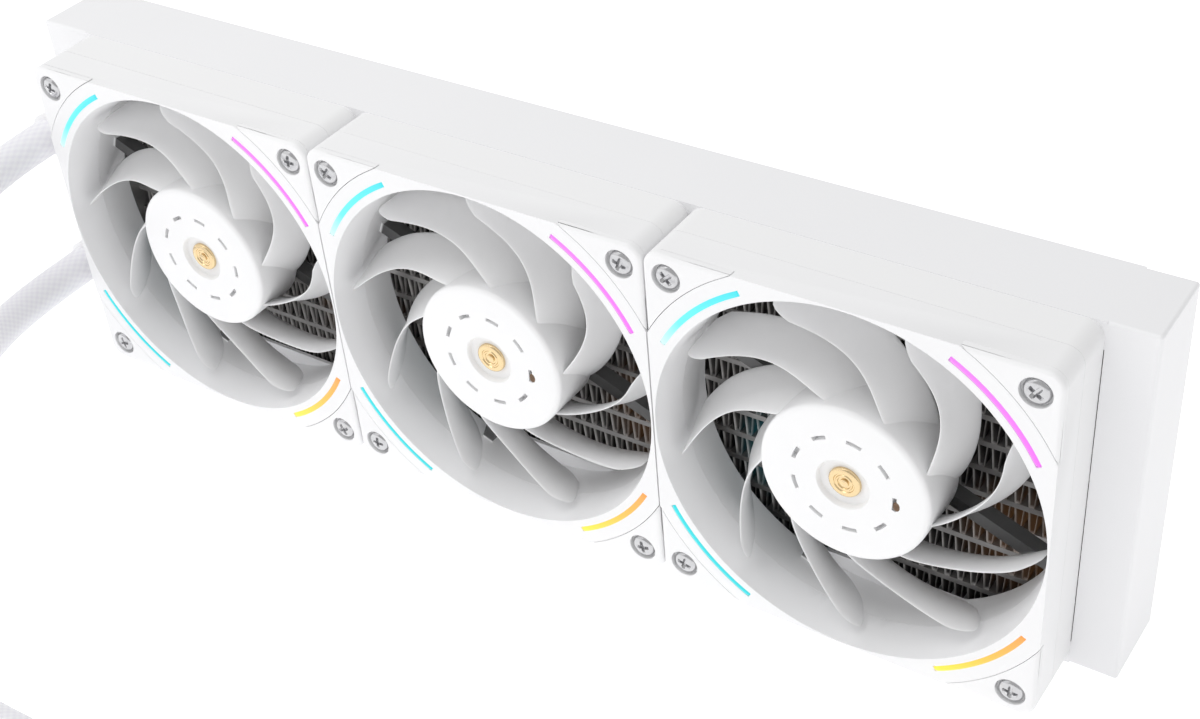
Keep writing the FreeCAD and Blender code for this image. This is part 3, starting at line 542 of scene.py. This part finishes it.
def screw_head(x, z, turn):
    """A dome over a round plan: height falls with the fourth power of the radius, and a
    cross of two tapered slots is pressed into it."""
    radius = np.concatenate([np.linspace(0.02, 3.3, 27),
                             [3.5, 3.65, 3.74, SCREW_RADIUS, SCREW_RADIUS]])
    angle = np.radians(np.arange(0, 360, 3.0))
    r, a = np.meshgrid(radius, angle, indexing="ij")
    u, v = r * np.cos(a - turn), r * np.sin(a - turn)
    dome = 1.9 - 0.75 * (r / SCREW_RADIUS) ** 4 - 0.35 * (r / SCREW_RADIUS) ** 16
    slots = [np.clip((SLOT_HALF_WIDTH - abs(p)) / 0.22, 0, 1)
             * np.clip((SLOT_HALF_LENGTH - abs(q)) / 0.8, 0, 1) for p, q in ((u, v), (v, u))]
    height = dome - 1.1 * np.maximum(*slots)
    height[-1] = 0.0
    height[-2] = 0.5
    points = np.stack([x + r * np.cos(a), SCREW_SEAT - height, z + r * np.sin(a)], axis=-1)
    return points, False, True, 0, None


for number, x in enumerate(FAN_X, start=1):
    sheets = [screw_head(x + 52.5 * i, 60 + 52.5 * j, 0.35 + 1.3 * number + 0.9 * i + 0.5 * j)
              for i in (-1, 1) for j in (-1, 1)]
    piece = solid_from(f"fan_{number}_screw_heads", sheets, [plated], close=False)
    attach(piece, "root")
    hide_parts(f"fan_{number}_screws")

# ---------------------------------------------------------------- fan wheels
# One smooth white moulding: a hub with a bowl and nine short slots in its face, and nine
# swept blades that lean back into the bore. A gold coloured nut sits in the bowl.
satin = Finish("satin_white_moulding", Coat_Weight=0.1, Coat_Roughness=0.3)
haze = satin.place.noise(60, 2)
satin.feed("Base Color", haze.blend(rgb(0.87, 0.87, 0.875), rgb(0.90, 0.90, 0.905)))
satin.feed("Roughness", haze * 0.1 + 0.36)
putty = Finish("balance_putty", Roughness=0.6)
putty.feed("Base Color", putty.place.noise(700, 3).blend(rgb(0.05, 0.025, 0.01),
                                                         rgb(0.22, 0.12, 0.06)))
FACE = -37.0                      # hub face along Y
SLOT_DEPTH = 2.2
BLADES = 9
WHEEL_PHASES = (-24.5, -27.5, -7.0)
EDGE_RADII = np.array([26.0, 34.0, 42.0, 50.0, 56.0])
EDGE_LAG = np.polyfit(EDGE_RADII, [-46.6, -31.85, -19.2, -6.1, 1.8], 4)
EDGE_DEPTH = np.polyfit(EDGE_RADII, [-20.7, -19.5, -19.2, -21.65, -23.36], 4)


def wheel_hub(x):
    """A profile turned about the fan's axis; slots are where radius and angle both fall in
    their ranges, and there the face is SLOT_DEPTH deeper."""
    profile = [(1.4, 1.8), (7.4, 1.8), (7.7, 1.6), (8.0, 0.25), (8.3, 0.0), (14.8, 0.0),
               (14.95, 0.0), (15.0, 0.0), (16.2, 0.0), (16.25, 0.0), (16.4, 0.0),
               (24.3, 0.0), (25.0, 0.1), (25.6, 0.5), (25.9, 1.0), (26.0, 1.8), (26.0, 18.0),
               (23.1, 18.0), (23.1, 3.2), (4.5, 3.2), (1.4, 3.2), (1.4, 1.8)]
    radius = np.array([p[0] for p in profile])
    drop = np.array([p[1] for p in profile])
    half = math.degrees(2.3 / 15.6)
    inside = np.linspace(-half + 0.4, half - 0.4, 6)
    period = np.concatenate([[-half], inside, [half], np.linspace(half + 2, 40 - half - 2, 8)])
    angle = (-2.0 + np.arange(9)[:, None] * 40 + period[None, :]).ravel()
    slot = np.tile(np.concatenate([[0], np.ones(6), [0], np.zeros(8)]), 9)
    slot_row = np.isin(np.arange(len(radius)), (7, 8))
    deep = drop[:, None] + SLOT_DEPTH * slot_row[:, None] * slot[None, :]
    a = np.radians(angle)[None, :]
    r = radius[:, None]
    return (np.stack([x + r * np.cos(a), FACE + deep + 0 * r, 60 + r * np.sin(a)], axis=-1),
            False, True, 0, None)


def wheel_blade(x, tip_angle):
    """A swept blade: sections square to the radius, each a thin rounded strip from its front
    edge to its back edge, bowed by a half sine and thinned to nothing at the tip."""
    share = np.concatenate([np.linspace(0, 0.9, 26), 0.9 + 0.1 * np.sin(
        np.linspace(0, math.pi / 2, 9)[1:])])
    loop = np.linspace(0, 2 * math.pi, 36, endpoint=False)
    t = (1 - np.cos(loop)) / 2
    side = np.sign(np.sin(loop)) * np.abs(np.sin(loop)) ** 0.7
    reach = 56.4 - 5.0 * np.clip(1 - t / 0.30, 0, 1) ** 2.0 - 2.0 * np.clip(
        (t - 0.8) / 0.2, 0, 1) ** 2
    r = 24.0 + share[:, None] * (reach[None, :] - 24.0)
    front = np.polyval(EDGE_DEPTH, r)
    back = np.full_like(r, -5.6)
    slope = np.radians(np.interp(r, [24.5, 31, 38, 46, 52, 56], [51, 54, 57, 59, 62, 64]))
    spread = (back - front) / np.tan(slope)
    close = np.sqrt(np.clip(1 - ((share - 0.9) / 0.1).clip(0, 1) ** 2, 0, 1))[:, None]
    half_thick = np.interp(r, [24, 34, 56], [1.15, 0.85, 0.62]) * (0.02 + 0.98 * close)
    bow = 1.9 * np.sin(math.pi * t)[None, :]
    along_arc = -spread * t[None, :] + (side[None, :] * half_thick + bow) * np.sin(slope)
    depth = front + (back - front) * t[None, :] + (side[None, :] * half_thick) * np.cos(slope)
    angle = np.radians(tip_angle + np.polyval(EDGE_LAG, r)) + along_arc / r
    points = np.stack([x + r * np.cos(angle), depth - 13.5, 60 + r * np.sin(angle)], axis=-1)
    return points, False, True, 0, None


def putty_blob(x, angle):
    """Half an ellipsoid pressed into a slot of the hub."""
    lift, turn = np.meshgrid(np.linspace(0, math.pi / 2, 7), np.radians(np.arange(0, 360, 20)),
                             indexing="ij")
    cx, cz = x + 16.2 * math.cos(angle), 60 + 16.2 * math.sin(angle)
    points = np.stack([cx + 1.1 * np.cos(lift) * np.cos(turn),
                       FACE + 0.1 - 0.25 * np.sin(lift),
                       cz + 1.7 * np.cos(lift) * np.sin(turn)], axis=-1)
    return points, False, True, 1, None


for number, (x, phase) in enumerate(zip(FAN_X, WHEEL_PHASES), start=1):
    sheets = [wheel_hub(x)] + [wheel_blade(x, phase + 360 / BLADES * blade)
                                for blade in range(BLADES)]
    if number > 1:
        sheets.append(putty_blob(x, math.radians(-4)))
    piece = solid_from(f"fan_{number}_wheel_moulding", sheets, [satin, putty])
    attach(piece, f"fan_{number}_wheel")
    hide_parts(f"fan_{number}_rotor")

# ---------------------------------------------------------------- nuts
# A turned nut, polished and gold coloured, with rings around a raised round middle.
gold = Finish("gold_plating", Metallic=1.0, Base_Color=rgb(0.74, 0.57, 0.33))
gold.feed("Roughness", gold.place.noise(1500, 2) * 0.2 + 0.12)
NUT_PROFILE = ((0.01, 1.25), (1.1, 1.25), (1.3, 1.1), (1.35, 0.7), (1.9, 0.7), (2.1, 1.0),
               (2.5, 1.0), (2.7, 0.75), (3.1, 0.75), (3.3, 1.05), (4.3, 1.05), (4.7, 0.9),
               (4.9, 0.6), (4.9, 0.0))
for number, x in enumerate(FAN_X, start=1):
    r = np.array([p[0] for p in NUT_PROFILE])[:, None]
    rise = np.array([p[1] for p in NUT_PROFILE])[:, None]
    a = np.radians(np.arange(0, 360, 5.0))[None, :]
    points = np.stack([x + r * np.cos(a), FACE + 1.8 - rise + 0 * a, 60 + r * np.sin(a)], axis=-1)
    piece = solid_from(f"fan_{number}_gold_nut", [(points, False, True, 0, None)], [gold],
                       close=False)
    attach(piece, f"fan_{number}_wheel")
    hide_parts(f"fan_{number}_hub_nut")

# ---------------------------------------------------------------- motors
# Behind each hub: wound steel poles on the bearing holder, a bronze sleeve, a ground shaft, a
# black magnet strip around the inside of the hub and a green circuit board in the cup.
steel = Finish("electrical_steel", Metallic=0.8)
layers = (steel.place.axis(1) * 12000).maths("SINE", steel.place.axis(1) * 12000) * 0.5 + 0.5
steel.feed("Base Color", layers.blend(rgb(0.25, 0.24, 0.24), rgb(0.48, 0.46, 0.45)))
steel.feed("Roughness", layers * 0.2 + 0.35)
bronze = Finish("sintered_bronze", Metallic=0.9)
pores = bronze.place.noise(2200, 3)
bronze.feed("Base Color", pores.blend(rgb(0.50, 0.36, 0.18), rgb(0.72, 0.55, 0.28)))
bronze.feed("Roughness", pores * 0.3 + 0.35)
ground = Finish("ground_steel", Metallic=1.0, Base_Color=rgb(0.66, 0.66, 0.67))
ground.feed("Roughness", ground.place.noise(1800, 2) * 0.2 + 0.15)
magnet = Finish("magnet_strip", Base_Color=rgb(0.035, 0.033, 0.035))
magnet.feed("Roughness", magnet.place.noise(800, 2) * 0.25 + 0.5)
board = Finish("circuit_board", Coat_Weight=0.4, Coat_Roughness=0.15, Roughness=0.4)
board.feed("Base Color", board.place.noise(500, 4).blend(rgb(0.02, 0.16, 0.07),
                                                         rgb(0.05, 0.28, 0.13)))
for number in (1, 2, 3):
    for piece, finish in (("stator", steel), ("bearing", bronze), ("shaft", ground),
                          ("magnet_ring", magnet), ("circuit_board", board)):
        paint(f"fan_{number}_{piece}", finish)
